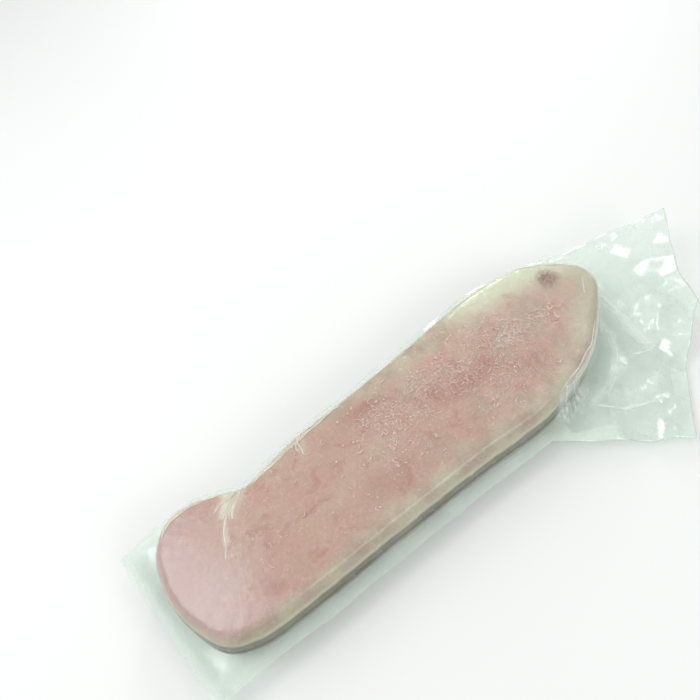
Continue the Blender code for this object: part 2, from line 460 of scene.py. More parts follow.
# Height of the margin and the tail, before their facets
def filmPlanHeight(side, edge, share):
    plan = side + (edge[:, :2] - side) * share
    out = np.linalg.norm(plan - side, axis=1)
    height = loinForm["seamHeight"] + (edge[:, 2] - loinForm["seamHeight"]) * share
    bearing = np.arctan2(plan[:, 1], plan[:, 0] - loinForm["spineEnd"] * loinForm["length"])
    folds = np.sin(8.0 * bearing + 0.6) + 0.5 * np.sin(17.0 * bearing + 2.0)
    height = height + pouchForm["foldHeight"] * folds * np.minimum(1.0, out / pouchForm["foldReach"]) ** 1.3
    ripple = np.minimum(1.0, out / pouchForm["rippleReach"])
    height = height + pouchForm["rippleHeight"] * np.sin(plan[:, 0] * 96.0 + 0.8) * ripple
    return plan, out, height, bearing


# Flat facets and straight creases of the loose tail, growing with the distance from the loin
def looseFolds(plan, out, bearing):
    warp = np.column_stack([noiseAt(flat3(plan), 0.055, 1.1), noiseAt(flat3(plan), 0.055, 7.4)]) * 0.010
    bent = plan + warp
    loose = smoothStep(filmForm["looseFrom"], filmForm["looseTo"], out)
    turns = bearing * 2.6 + 1.4 * noiseAt(flat3(plan), 0.09, 2.8)
    total = filmForm["fanFolds"] * foldWave(turns) * loose * np.minimum(1.0, out / 0.11)
    for i, (direction, length, height, start) in enumerate(filmForm["looseFacets"]):
        here = smoothStep(-0.25, 0.30, noiseAt(flat3(plan), 0.045, 20.0 + 3.0 * i))
        total = total + height * foldWave(bent @ np.array(direction) / length + start) * loose * here
    return total


# Film crushed into small facets beside the tip
def crushedFolds(plan):
    near = zonesAt(plan, [(filmForm["crushedPlace"], filmForm["crushedReach"], 1.0)])
    bend = 0.5 * noiseAt(flat3(plan), 0.012, 41.0)
    straight = foldWave(plan[:, 0] / 0.0085 + bend)
    slanted = foldWave(plan[:, 0] / 0.0052 - plan[:, 1] / 0.009 + bend)
    return filmForm["crushedHeight"] * (straight + 0.7 * slanted) * near


# Milky bands of film beside its folds
def foldHaze(plan, lines):
    total = np.zeros(len(plan))
    for line, reach, strength in lines:
        line = np.array(line)
        for a, b in zip(line[:-1], line[1:]):
            t = np.clip(((plan - a) @ (b - a)) / max(1e-12, (b - a) @ (b - a)), 0.0, 1.0)
            away = np.linalg.norm(plan - (a + t[:, None] * (b - a)), axis=1)
            total = np.maximum(total, strength * np.exp(-(away / reach) ** 2))
    return total


def filmHazeAndHighlightLines(rimLines):
    f = filmForm
    lines = [(points, *f["foldHaze"]) for points, _, _ in loinFolds]
    lines += [(points, reach, f["gatheredShare"] * strength) for points, reach, strength in gatheredHaze]
    lines += paintedTailHighlights
    for (points, _, _), rim in zip(rimLines, rimFolds):
        if rim[0] == "straight":
            lines.append((points, *f["straightHaze"]))
        elif rim[0] == "tip":
            lines.append((points, *f["tipHaze"]))
    return lines


# One ring of the loose film. sheet is 0.5 on the upper sheet and -0.5 on the lower one
def looseRing(side, edge, share, sheet, hazeAndHighlightLines):
    f = filmForm
    plan, out, height, bearing = filmPlanHeight(side, edge, share)
    centred = plan - middleShift()[:2]
    margin = np.linalg.norm(edge[:, :2] - side, axis=1) * (1 - share)
    height = height + looseFolds(plan, out, bearing) * (1 - 0.35 * smoothStep(0.8, 1.0, share))
    uneven = noiseAt(flat3(plan), f["unevenSize"], 6.1) * f["unevenHeight"]
    height = height + uneven * smoothStep(0.001, 0.010, out)
    height = height + crushedFolds(centred) * smoothStep(0.0005, 0.004, out)
    sealWidth = pouchForm["sealWidth"]
    apart = pouchForm["airGap"] * smoothStep(sealWidth * 0.6, sealWidth * 1.8, margin)
    pockets = 0.45 + 0.9 * np.clip(noiseAt(flat3(plan), 0.03, 4.0) + 0.5, 0.0, 1.2)
    apart = apart * pockets + f["leastThickness"]
    height = np.maximum(height, f["leastHeight"] + apart / 2)
    away = smoothStep(0.0, 0.010, out)
    thickness = 2 * f["sheetHalf"] * (1 - away) + apart * away
    sealed = f["sealHaze"] * (1 - smoothStep(sealWidth * 0.8, sealWidth * 1.15, margin))
    # the seal is milky film; the haze bands also carry painted highlights along the tail's creases and
    # crushed film
    hazeAndHighlight = np.maximum(sealed, foldHaze(centred, hazeAndHighlightLines))
    zones = np.column_stack([np.zeros(len(plan)), smoothStep(0.0, 0.045, out), hazeAndHighlight, np.ones(len(plan))])
    return flat3(plan, height + thickness * sheet), zones


# One ring of the film that is pressed onto the loin's top
def pressedRing(side, plan, rise, inside, hazeAndHighlightLines):
    f = filmForm
    centred = plan - middleShift()[:2]
    low = loinForm["seamHeight"] + f["sheetHalf"]
    z = low + (loinTop(plan) + pouchForm["cling"] - low) * rise
    gather = noiseAt(flat3(side + 0.12 * (plan - side)), f["gatherSize"], 3.3)
    z = z + f["gatherHeight"] * gather * np.exp(-inside / f["gatherReach"]) * rise
    crinkle = zonesAt(centred, crinkleZones)
    everywhere, more = f["crinkleHeights"]
    z = z + (everywhere + more * crinkle) * noiseAt(flat3(plan), f["crinkleSize"], 2.9) * rise
    hazeAndHighlight = foldHaze(centred, hazeAndHighlightLines)
    return flat3(plan, z), np.column_stack([crinkle, np.zeros(len(plan)), hazeAndHighlight, np.ones(len(plan))])


def makeFilm(hazeAndHighlightLines):
    f = filmForm
    side, edge = pairsAround(f["around"], f["tailDensity"])
    topRings, lowRings = bothHalves(side, f)
    skin = [pressedRing(side, *ring, hazeAndHighlightLines) for ring in reversed(topRings)]
    for share in np.linspace(0.0, 1.0, f["upperRings"] + 1):
        skin.append(looseRing(side, edge, share, 0.5, hazeAndHighlightLines))
    for share in np.linspace(1.0, 0.0, f["lowerRings"] + 1):
        skin.append(looseRing(side, edge, share, -0.5, hazeAndHighlightLines))
    underZones = np.tile((0.0, 0.0, 0.0, 1.0), (len(side), 1))
    for plan, rise, _ in lowRings:
        skin.append((flat3(plan, (loinForm["seamHeight"] - f["sheetHalf"]) * (1 - rise)), underZones))
    rings = np.array([ring for ring, _ in skin]) - middleShift()
    zones = np.array([zone for _, zone in skin])
    piece = skinFromRings("pouch_film", rings, {"filmZones": zones})
    print("film:", len(piece.data.polygons), "faces")
    return piece


# A closed rod one unit long, cut into rings, to be bent along a path
def rodTemplate(ringCount, sideCount):
    bm = bmesh.new()
    bmesh.ops.create_cone(bm, cap_ends=True, segments=sideCount, radius1=1.0, radius2=1.0, depth=1.0)
    bmesh.ops.translate(bm, verts=bm.verts, vec=(0.0, 0.0, 0.5))
    for k in range(1, ringCount):
        everything = [*bm.verts, *bm.edges, *bm.faces]
        place = (0.0, 0.0, k / ringCount)
        bmesh.ops.bisect_plane(bm, geom=everything, plane_co=place, plane_no=(0.0, 0.0, 1.0))
    bmesh.ops.recalc_face_normals(bm, faces=bm.faces)
    return meshFromBmesh("rod_template", bm)


def grainTemplate():
    bm = bmesh.new()
    bmesh.ops.create_icosphere(bm, subdivisions=1, radius=1.0)
    return meshFromBmesh("grain_template", bm)


def coordsOf(mesh):
    co = np.empty(len(mesh.vertices) * 3)
    mesh.vertices.foreach_get("co", co)
    return co.reshape(-1, 3)


# One mesh of many copies of a template, each at its own coordinates
def pieceOfCopies(name, template, places, smooth=True):
    bm = bmesh.new()
    for _ in places:
        bm.from_mesh(template)
    bpy.data.meshes.remove(template)
    piece = pieceFromBmesh(name, bm, smooth)
    piece.data.vertices.foreach_set("co", np.concatenate(places).ravel())
    piece.data.update()
    return piece


def smoothPath(points, count):
    points = np.array(points, float)
    padded = np.concatenate([[2 * points[0] - points[1]], points, [2 * points[-1] - points[-2]]])
    spans = np.linalg.norm(points[1:] - points[:-1], axis=1)
    ends = np.concatenate([[0.0], np.cumsum(spans)])
    at = np.linspace(0.0, ends[-1], count)
    segment = np.clip(np.searchsorted(ends, at, side="right") - 1, 0, len(points) - 2)
    t = ((at - ends[segment]) / spans[segment])[:, None]
    return curveBetween(*(padded[segment + k] for k in range(4)), t)


# Drops a plan path onto the film from above: its points and the film's slope there
def layOnFilm(skin, plan):
    spots, normals = [], []
    for x, y in plan.tolist():
        hit, normal, _, _ = skin.ray_cast(Vector((x, y, 0.3)), Vector((0.0, 0.0, -1.0)))
        if hit is None:
            hit, normal = Vector((x, y, spots[-1][2] if spots else 0.03)), Vector((0.0, 0.0, 1.0))
        spots.append(tuple(hit))
        normals.append(tuple(normal if normal.z > 0 else -normal))
    return np.array(spots), np.array(normals)


# Bends the rod along a path, with its width and height at each ring
def bendRod(rod, spots, normals, width, height):
    along = unit(np.gradient(spots, axis=0))
    across = unit(np.cross(normals, along))
    upward = np.cross(along, across)
    at = rod[:, 2] * (len(spots) - 1)
    low = np.clip(np.floor(at).astype(int), 0, len(spots) - 2)
    t = (at - low)[:, None]
    place, sideways, up = (v[low] * (1 - t) + v[low + 1] * t for v in (spots, across, upward))
    wide = np.interp(rod[:, 2], np.linspace(0, 1, len(width)), width)
    tall = np.interp(rod[:, 2], np.linspace(0, 1, len(height)), height)
    return place + sideways * (rod[:, 0] * wide)[:, None] + up * (rod[:, 1] * tall)[:, None]


foldForm = {
    "ringCount": 40,
    "sideCount": 8,
    "wobble": 0.0007,
    "wobbleSize": 0.006,
    "sink": 0.00025,          # the rod's middle lies this far under the film
    "leastHeight": 0.0002,
    "rimWander": (0.45, 0.016),
    "sideFrom": 0.012,        # a side's folds lie at least this far from the middle
    "rimPoints": 1200,
    "rimStep": 8,
}

# Folds at the notch and the tip as seen from above: points, half width and height
loinFolds = (
    (((-0.1430, 0.0600), (-0.1500, 0.0520), (-0.1615, 0.0470), (-0.1700, 0.0400), (-0.1772, 0.0349)),
     0.0022, 0.0007),
    (((-0.1450, 0.0610), (-0.1520, 0.0480), (-0.1671, 0.0400), (-0.1808, 0.0264), (-0.1870, 0.0150),
      (-0.1938, 0.0041)), 0.0009, 0.0004),
    (((-0.1440, 0.0600), (-0.1540, 0.0500), (-0.1700, 0.0480), (-0.1790, 0.0450)), 0.0020, 0.0007),
    (((-0.1430, 0.0590), (-0.1520, 0.0470), (-0.1640, 0.0380), (-0.1700, 0.0300)), 0.0020, 0.0007),
    (((-0.1430, 0.0590), (-0.1510, 0.0500), (-0.1600, 0.0420)), 0.0018, 0.0006),
    (((-0.0757, 0.0600), (-0.0856, 0.0510), (-0.0875, 0.0430), (-0.0892, 0.0369)), 0.0010, 0.0006),
    (((-0.0820, 0.0570), (-0.0900, 0.0480), (-0.0905, 0.0420)), 0.0008, 0.0005),
    (((0.2322, 0.0108), (0.2265, 0.0040), (0.2200, -0.0030)), 0.0010, 0.0006),
)

# Milky patches where the film is gathered on the loin: points, reach and strength
gatheredHaze = (
    (((-0.1470, 0.0560), (-0.1560, 0.0450), (-0.1690, 0.0380)), 0.0054, 1.00),
    (((-0.1580, 0.0570), (-0.1650, 0.0480), (-0.1730, 0.0380)), 0.0052, 0.95),
    (((-0.1730, 0.0380), (-0.1802, 0.0258), (-0.1860, 0.0160)), 0.0022, 0.75),
    (((-0.0757, 0.0600), (-0.0875, 0.0430)), 0.0035, 0.40),
)

# Folds that follow the loin's rim: side, start and end along x, distance in, half width, height
rimFolds = (
    ("straight", -0.236, -0.152, 0.0040, 0.0016, 0.0012),
    ("straight", -0.226, -0.176, 0.0085, 0.0010, 0.0007),
    ("straight", -0.150, -0.060, 0.0030, 0.0017, 0.0013),
    ("straight", -0.138, -0.030, 0.0080, 0.0015, 0.0011),
    ("straight", -0.075, 0.030, 0.0045, 0.0014, 0.0010),
    ("straight", 0.000, 0.110, 0.0025, 0.0013, 0.0009),
    ("straight", 0.095, 0.215, 0.0045, 0.0012, 0.0009),
    ("tip", 0.195, 0.246, 0.0030, 0.0021, 0.0013),
    ("tip", 0.246, 0.140, 0.0022, 0.0019, 0.0013),
    ("full", 0.205, 0.118, 0.0050, 0.0010, 0.0008),
)

# Long creases of the loose tail: points, half width and height
besideTip = ((0.2425, 0.0080), (0.2450, -0.0120), (0.2435, -0.0358), (0.2400, -0.0565), (0.2401, -0.0740))
tailCreases = (
    (besideTip, 0.0018, 0.0010),
    (((0.2180, -0.0700), (0.2300, -0.0745), (0.2455, -0.0768)), 0.0013, 0.0008),
    (((0.2180, -0.0420), (0.2080, -0.0600), (0.1880, -0.0760), (0.1700, -0.0840)), 0.0014, 0.0008),
    (((0.1500, -0.0860), (0.1750, -0.1050), (0.2000, -0.1180)), 0.0017, 0.0008),
)

# Milky bands painted on the loose film as highlights, where it shines white along its creases and over the
# crushed film: points, reach and strength
paintedTailHighlights = (
    (((0.1480, -0.0665), (0.1220, -0.0700)), 0.0070, 0.95),
    (besideTip, 0.0045, 0.75),
    (((0.2180, -0.0420), (0.2080, -0.0600), (0.1880, -0.0760), (0.1500, -0.0820)), 0.0040, 0.45),
    (((0.2050, -0.1050), (0.2500, -0.0900), (0.2950, -0.0900)), 0.0050, 0.40),
)

# Film gathered into short thick pleats beside the tip
gatheredPleats = (
    (((0.1490, -0.0612), (0.1470, -0.0660), (0.1450, -0.0720)), 0.0016, 0.0016),
    (((0.1410, -0.0615), (0.1390, -0.0665), (0.1345, -0.0730)), 0.0020, 0.0019),
    (((0.1310, -0.0625), (0.1285, -0.0670), (0.1250, -0.0715)), 0.0015, 0.0017),
    (((0.1500, -0.0622), (0.1400, -0.0628), (0.1270, -0.0650)), 0.0016, 0.0014),
)


# The line of a fold beside the rim, as seen from above
def rimPath(where, start, finish, inset):
    f = foldForm
    side, _ = pairsAround(f["rimPoints"])
    inward = unit(spinePoints(side, 0.0) - side)
    share, size = f["rimWander"]
    wander = 1.0 + share * noiseAt(flat3(side), size, 30.0 + 100 * inset)
    line = side + inward * inset * wander[:, None] - middleShift()[:2]
    x, y = line.T
    low, high = min(start, finish), max(start, finish)
    order, tip = np.arange(len(line)), x.argmax()
    if where == "straight":
        chosen = (y > f["sideFrom"]) & (x >= low) & (x <= high)
    elif where == "full":
        chosen = (y < -f["sideFrom"]) & (x >= low) & (x <= high)
    elif finish > start:
        chosen = (order <= tip) & (x >= low) & (y > 0.0)
    else:
        chosen = (order >= tip) & (x >= low)
    return line[chosen][::f["rimStep"]]


def makeFolds(name, skin, folds):
    f = foldForm
    rod = rodTemplate(f["ringCount"], f["sideCount"])
    shape = coordsOf(rod)
    count = f["ringCount"] + 1
    taper = np.sin(np.linspace(0.06, 0.94, count) * math.pi) ** 0.6
    places = []
    for i, (points, halfWidth, height) in enumerate(folds):
        plan = smoothPath(points, count)
        wobbles = [noiseAt(flat3(plan), f["wobbleSize"], seed + i) for seed in (5.0, 50.0)]
        spots, normals = layOnFilm(skin, plan + np.column_stack(wobbles) * f["wobble"])
        width = halfWidth * taper * (1.0 + 0.45 * noiseAt(spots, 0.007, 12.0 + i))
        tall = height * taper * (1.0 + 0.5 * noiseAt(spots, 0.005, 22.0 + i))
        tall = np.maximum(tall, f["leastHeight"])
        places.append(bendRod(shape, spots - normals * f["sink"], normals, width, tall))
    piece = pieceOfCopies(name, rod, places)
    print(name, "folds:", len(places))
    return piece


curlForm = {
    "ringCount": 8,
    "sideCount": 6,
    "perZone": 95,
    "zoneShare": 0.62,        # how far the curls spread over a crinkle zone
    "scattered": 75,
    "scatteredOver": ((-0.20, 0.20), (-0.048, 0.044)),
    "lengths": (0.0040, 0.0100),
    "radii": (0.00036, 0.00068),
    "flatness": 0.5,
    "bend": 0.6,
    "unevenBend": 0.7,
}


# Random points on the loin, more of them in the crinkle zones
def scatterPlaces(form):
    places = []
    for middle, reach, strength in crinkleZones:
        for _ in range(int(form["perZone"] * strength)):
            places.append([tidyDice.gauss(m, r * form["zoneShare"]) for m, r in zip(middle, reach)])
    for _ in range(form["scattered"]):
        places.append([tidyDice.uniform(*span) for span in form["scatteredOver"]])
    return places


# Short curled wrinkles of film over the frost
def makeCurls(skin):
    f = curlForm
    rod = rodTemplate(f["ringCount"], f["sideCount"])
    shape = coordsOf(rod)
    places = []
    for start in scatterPlaces(f):
        step = tidyDice.uniform(*f["lengths"]) / f["ringCount"]
        heading = tidyDice.uniform(0.0, 2 * math.pi)
        turn = tidyDice.gauss(0.0, f["bend"])
        path = [start]
        for _ in range(f["ringCount"]):
            heading += turn + tidyDice.gauss(0.0, f["unevenBend"])
            x, y = path[-1]
            path.append((x + step * math.cos(heading), y + step * math.sin(heading)))
        spots, normals = layOnFilm(skin, np.array(path))
        taper = np.sin(np.linspace(0.12, 0.88, len(path)) * math.pi) ** 0.7
        width = tidyDice.uniform(*f["radii"]) * taper
        places.append(bendRod(shape, spots, normals, width, f["flatness"] * width))
    piece = pieceOfCopies("film_curls", rod, places)
    print("curls:", len(places))
    return piece


grainForm = {
    "perZone": 25,
    "zoneShare": 0.7,
    "scattered": 220,
    "scatteredOver": ((-0.225, 0.215), (-0.056, 0.052)),
    "nearRim": 110,
    "rimPoints": 900,
    "rimInset": 0.13,         # as a share of the way from the side to the spine
    "rimSpread": 0.003,
    "sizes": (0.00022, 0.00055),
    "largerShare": 0.1,
    "largerBy": 1.6,
    "lowest": 0.03,           # grains lie above this height only
}


# Small grains of ice under the film
def makeGrains(skin):
    f = grainForm
    template = grainTemplate()
    shape = coordsOf(template)
    spots = scatterPlaces(f)
    side, _ = pairsAround(f["rimPoints"])
    rim = side + (spinePoints(side, 0.0) - side) * f["rimInset"] - middleShift()[:2]
    for _ in range(f["nearRim"]):
        x, y = rim[tidyDice.randrange(len(rim))]
        spots.append((x + tidyDice.gauss(0, f["rimSpread"]), y + tidyDice.gauss(0, f["rimSpread"])))
    places = []
    for x, y in spots:
        hit, _, _, _ = skin.ray_cast(Vector((x, y, 0.3)), Vector((0.0, 0.0, -1.0)))
        if hit is None or hit.z < f["lowest"]:
            continue
        size = tidyDice.uniform(*f["sizes"])
        if tidyDice.random() >= 1 - f["largerShare"]:
            size *= f["largerBy"]
        stretch = (tidyDice.uniform(0.8, 1.6), tidyDice.uniform(0.7, 1.2), 0.7)
        turn = Matrix.Rotation(tidyDice.uniform(0, math.pi), 3, "Z")
        local = (shape * stretch * size) @ np.array(turn).T
        places.append(local + np.array(hit) + (0.0, 0.0, size * 0.15))
    piece = pieceOfCopies("ice_grains", template, places, smooth=False)
    print("grains:", len(places))
    return piece


def nodeMaterial(name):
    material = bpy.data.materials.new(name)
    material.use_nodes = True
    tree = material.node_tree
    for node in list(tree.nodes):
        tree.nodes.remove(node)
    return material, tree


def addNode(tree, kind, **values):
    node = tree.nodes.new(kind)
    for key, value in values.items():
        setattr(node, key, value)
    return node


def noiseNode(tree, coords, scale, detail=2.0, rough=0.5, distortion=0.0, stretch=None):
    node = addNode(tree, "ShaderNodeTexNoise")
    node.inputs["Scale"].default_value = scale
    node.inputs["Detail"].default_value = detail
    node.inputs["Roughness"].default_value = rough
    node.inputs["Distortion"].default_value = distortion
    if stretch:
        mapping = addNode(tree, "ShaderNodeMapping")
        mapping.inputs["Scale"].default_value = stretch
        tree.links.new(coords, mapping.inputs["Vector"])
        coords = mapping.outputs["Vector"]
    tree.links.new(coords, node.inputs["Vector"])
    return node.outputs["Fac"]


def spread(tree, value, low, high, outLow=0.0, outHigh=1.0):
    node = addNode(tree, "ShaderNodeMapRange", interpolation_type="SMOOTHSTEP")
    node.inputs["From Min"].default_value = low
    node.inputs["From Max"].default_value = high
    node.inputs["To Min"].default_value = outLow
    node.inputs["To Max"].default_value = outHigh
    tree.links.new(value, node.inputs["Value"])
    return node.outputs["Result"]


def maths(tree, operation, *values):
    node = addNode(tree, "ShaderNodeMath", operation=operation)
    for socket, value in zip(node.inputs, values):
        if isinstance(value, (int, float)):
            socket.default_value = value
        else:
            tree.links.new(value, socket)
    return node.outputs["Value"]


def plus(tree, a, b):
    return maths(tree, "ADD", a, b)


def times(tree, a, b):
    return maths(tree, "MULTIPLY", a, b)


# Thin curled lines, where the noise crosses its middle
def curledLines(tree, coords, low, high):
    curled = noiseNode(tree, coords, 150.0, 1.5, 0.5, 2.2)
    return spread(tree, maths(tree, "ABSOLUTE", maths(tree, "SUBTRACT", curled, 0.5)), low, high, 1.0, 0.0)


def objectCoords(tree):
    return addNode(tree, "ShaderNodeTexCoord").outputs["Object"]


def partsOf(tree, colour):
    node = addNode(tree, "ShaderNodeSeparateColor")
    tree.links.new(colour, node.inputs["Color"])
    return node.outputs


def mixShaders(tree, factor, first, second):
    mix = addNode(tree, "ShaderNodeMixShader")
    for socket, value in zip(mix.inputs, (factor, first, second)):
        tree.links.new(value, socket)
    return mix.outputs["Shader"]


def finishWith(tree, shader):
    output = addNode(tree, "ShaderNodeOutputMaterial")
    tree.links.new(shader, output.inputs["Surface"])


def blendColour(tree, factor, first, second, mode="MIX"):
    node = addNode(tree, "ShaderNodeMix", data_type="RGBA", blend_type=mode)
    for socket, value in ((node.inputs[0], factor), (node.inputs[6], first), (node.inputs[7], second)):
        if isinstance(value, (int, float)):
            socket.default_value = value
        elif isinstance(value, tuple):
            socket.default_value = (*value, 1.0)
        else:
            tree.links.new(value, socket)
    return node.outputs[2]


fleshLook = {
    "pink": (0.560, 0.300, 0.248),
    "rose": (0.428, 0.136, 0.104),
    "peach": (0.570, 0.330, 0.258),
    "greige": (0.455, 0.312, 0.238),
    "cream": (0.725, 0.700, 0.545),
    "beige": (0.560, 0.455, 0.335),
    "endBeige": (0.560, 0.495, 0.370),
    "lip": (0.700, 0.655, 0.480),
    # painted shade: the cut side's colours are darkened to stand in for the shade the side lies in, partly
    # its own darker flesh
    "shadedSideBrown": (0.105, 0.074, 0.037),
    "shadedSideRed": (0.095, 0.027, 0.018),
    "gathered": (0.800, 0.660, 0.560),
    "halo": (0.320, 0.110, 0.083),
    "vessel": (0.165, 0.052, 0.040),
    "frost": (0.750, 0.560, 0.500),
    "mauve": (0.570, 0.352, 0.380),
    "dust": (0.45, 0.30, 0.25),
    "frostShare": 0.40,
    "dustShare": 0.16,
    "roughness": 0.55,
    "glow": 0.15,
    "glowRadius": (1.0, 0.45, 0.30),
    "glowDepth": 0.004,
    "bump": 0.5,
    "bumpHeight": 0.0006,
}


def fleshMaterial():
    look = fleshLook
    material, tree = nodeMaterial("frozen_tuna_flesh")
    coords = objectCoords(tree)
    zones = addNode(tree, "ShaderNodeAttribute", attribute_name="fleshZones")
    cream, sideness, spot = list(partsOf(tree, zones.outputs["Color"]))[:3]
    crinkled = zones.outputs["Alpha"]
    tones = addNode(tree, "ShaderNodeAttribute", attribute_name="fleshTones")
    blush, ring, gathered = list(partsOf(tree, tones.outputs["Color"]))[:3]
    place = addNode(tree, "ShaderNodeSeparateXYZ")
    tree.links.new(coords, place.inputs["Vector"])
    x, y, z = place.outputs

    # pink face with peach, rose and grey beige patches, mauve at the blunt end
    broad = noiseNode(tree, coords, 22.0, 3.0, 0.55, 0.6)
    patches = noiseNode(tree, coords, 48.0, 3.0, 0.6, 0.8, (1.0, 1.0, 0.4))
    fine = noiseNode(tree, coords, 320.0, 3.0, 0.6)
    colour = blendColour(tree, spread(tree, broad, 0.38, 0.62), look["pink"], look["peach"])
    colour = blendColour(tree, spread(tree, patches, 0.50, 0.72, 0.0, 0.60), colour, look["rose"])
    greige = noiseNode(tree, coords, 30.0, 4.0, 0.6, 0.4, (1.0, 1.6, 1.0))
    farHalf = spread(tree, x, -0.06, 0.08, 0.25, 1.0)
    greigeShare = times(tree, spread(tree, greige, 0.43, 0.62, 0.0, 0.80), farHalf)
    colour = blendColour(tree, greigeShare, colour, look["greige"])
    unevenBlush = times(tree, blush, spread(tree, patches, 0.30, 0.60, 0.65, 1.0))
    colour = blendColour(tree, unevenBlush, colour, look["rose"])
    colour = blendColour(tree, spread(tree, x, -0.245, -0.14, 0.75, 0.0), colour, look["mauve"])

    # cream and beige borders
    borderTone = noiseNode(tree, coords, 40.0, 2.0)
    border = blendColour(tree, spread(tree, borderTone, 0.35, 0.65), look["beige"], look["greige"])
    border = blendColour(tree, spread(tree, x, 0.150, 0.215, 0.0, 0.75), border, look["endBeige"])
    tipward = spread(tree, plus(tree, x, times(tree, patches, 0.04)), 0.095, 0.150)
    straightTip = times(tree, spread(tree, y, 0.010, 0.050), tipward)
    border = blendColour(tree, straightTip, border, look["cream"])
    colour = blendColour(tree, cream, colour, border)

    # the cut side is painted dark as shade, olive brown above and red brown towards the bottom, under a
    # pale lip; in part it is the flesh's own darker side
    sideNoise = noiseNode(tree, coords, 90.0, 4.0, 0.65, 0.5, (0.6, 0.6, 1.8))
    unevenSide = times(tree, maths(tree, "SUBTRACT", sideNoise, 0.5), 0.9)
    sideShadeTone = plus(tree, spread(tree, z, 0.012, 0.034), unevenSide)
    shadedSideColour = blendColour(tree, spread(tree, sideShadeTone, 0.05, 0.85), look["shadedSideRed"], look["shadedSideBrown"])
    lip = blendColour(tree, spread(tree, x, 0.130, 0.190), look["lip"], look["cream"])
    shadedSideColour = blendColour(tree, spread(tree, z, 0.0345, 0.0395), shadedSideColour, lip)
    colour = blendColour(tree, times(tree, sideness, 0.92), colour, shadedSideColour)

    # pale where the film is gathered at the notch
    colour = blendColour(tree, gathered, colour, look["gathered"])

    # dark vessel mark
    streaks = noiseNode(tree, coords, 260.0, 3.0, 0.7, 1.2)
    colour = blendColour(tree, times(tree, spot, 0.75), colour, look["halo"])
    colour = blendColour(tree, times(tree, ring, spread(tree, streaks, 0.44, 0.60)), colour, look["vessel"])

    # frost under the film
    frost = noiseNode(tree, coords, 130.0, 5.0, 0.7, 0.7)
    frosty = spread(tree, frost, 0.55, 0.72, 0.0, look["frostShare"])
    colour = blendColour(tree, frosty, colour, look["frost"])
    line = curledLines(tree, coords, 0.010, 0.060)
    lineShare = times(tree, line, plus(tree, times(tree, crinkled, 0.50), 0.06))
    colour = blendColour(tree, lineShare, colour, look["frost"])
    dusty = spread(tree, fine, 0.35, 0.7, 0.0, look["dustShare"])
    colour = blendColour(tree, dusty, colour, look["dust"], "MULTIPLY")

    shader = addNode(tree, "ShaderNodeBsdfPrincipled")
    shader.inputs["Roughness"].default_value = look["roughness"]
    shader.inputs["Subsurface Weight"].default_value = look["glow"]
    shader.inputs["Subsurface Radius"].default_value = look["glowRadius"]
    shader.inputs["Subsurface Scale"].default_value = look["glowDepth"]
    tree.links.new(colour, shader.inputs["Base Color"])
    bump = addNode(tree, "ShaderNodeBump")
    bump.inputs["Strength"].default_value = look["bump"]
    bump.inputs["Distance"].default_value = look["bumpHeight"]
    ridges = times(tree, line, times(tree, crinkled, 0.5))
    tree.links.new(plus(tree, plus(tree, fine, frosty), ridges), bump.inputs["Height"])
    tree.links.new(bump.outputs["Normal"], shader.inputs["Normal"])
    finishWith(tree, shader.outputs["BSDF"])
    return material


# Tint of the clear part, colour and share of the milky part, strength and roughness of the shine,
# and strength of the relief
filmLook = {
    "pouch": {
        "tint": (0.958, 0.996, 0.972), "haze": (0.89, 0.95, 0.89), "share": 0.075,
        "shine": 2.2, "roughness": 0.15, "bump": 0.55,
    },
    "fold": {
        "tint": (0.980, 0.970, 0.945), "haze": (0.92, 0.86, 0.76), "share": 0.50,
        "shine": 1.0, "roughness": 0.20, "bump": 0.35,
    },
    "curl": {
        "tint": (0.990, 0.975, 0.965), "haze": (0.90, 0.67, 0.60), "share": 0.50,
        "shine": 0.5, "roughness": 0.24, "bump": 0.15,
    },
    "crease": {
        "tint": (0.975, 0.995, 0.975), "haze": (0.97, 0.99, 0.94), "share": 0.45,
        "shine": 1.6, "roughness": 0.20, "bump": 0.20,
    },
    "pleat": {
        "tint": (0.985, 0.995, 0.985), "haze": (0.98, 0.99, 0.97), "share": 0.30,
        "shine": 2.8, "roughness": 0.10, "bump": 0.40,
    },
}


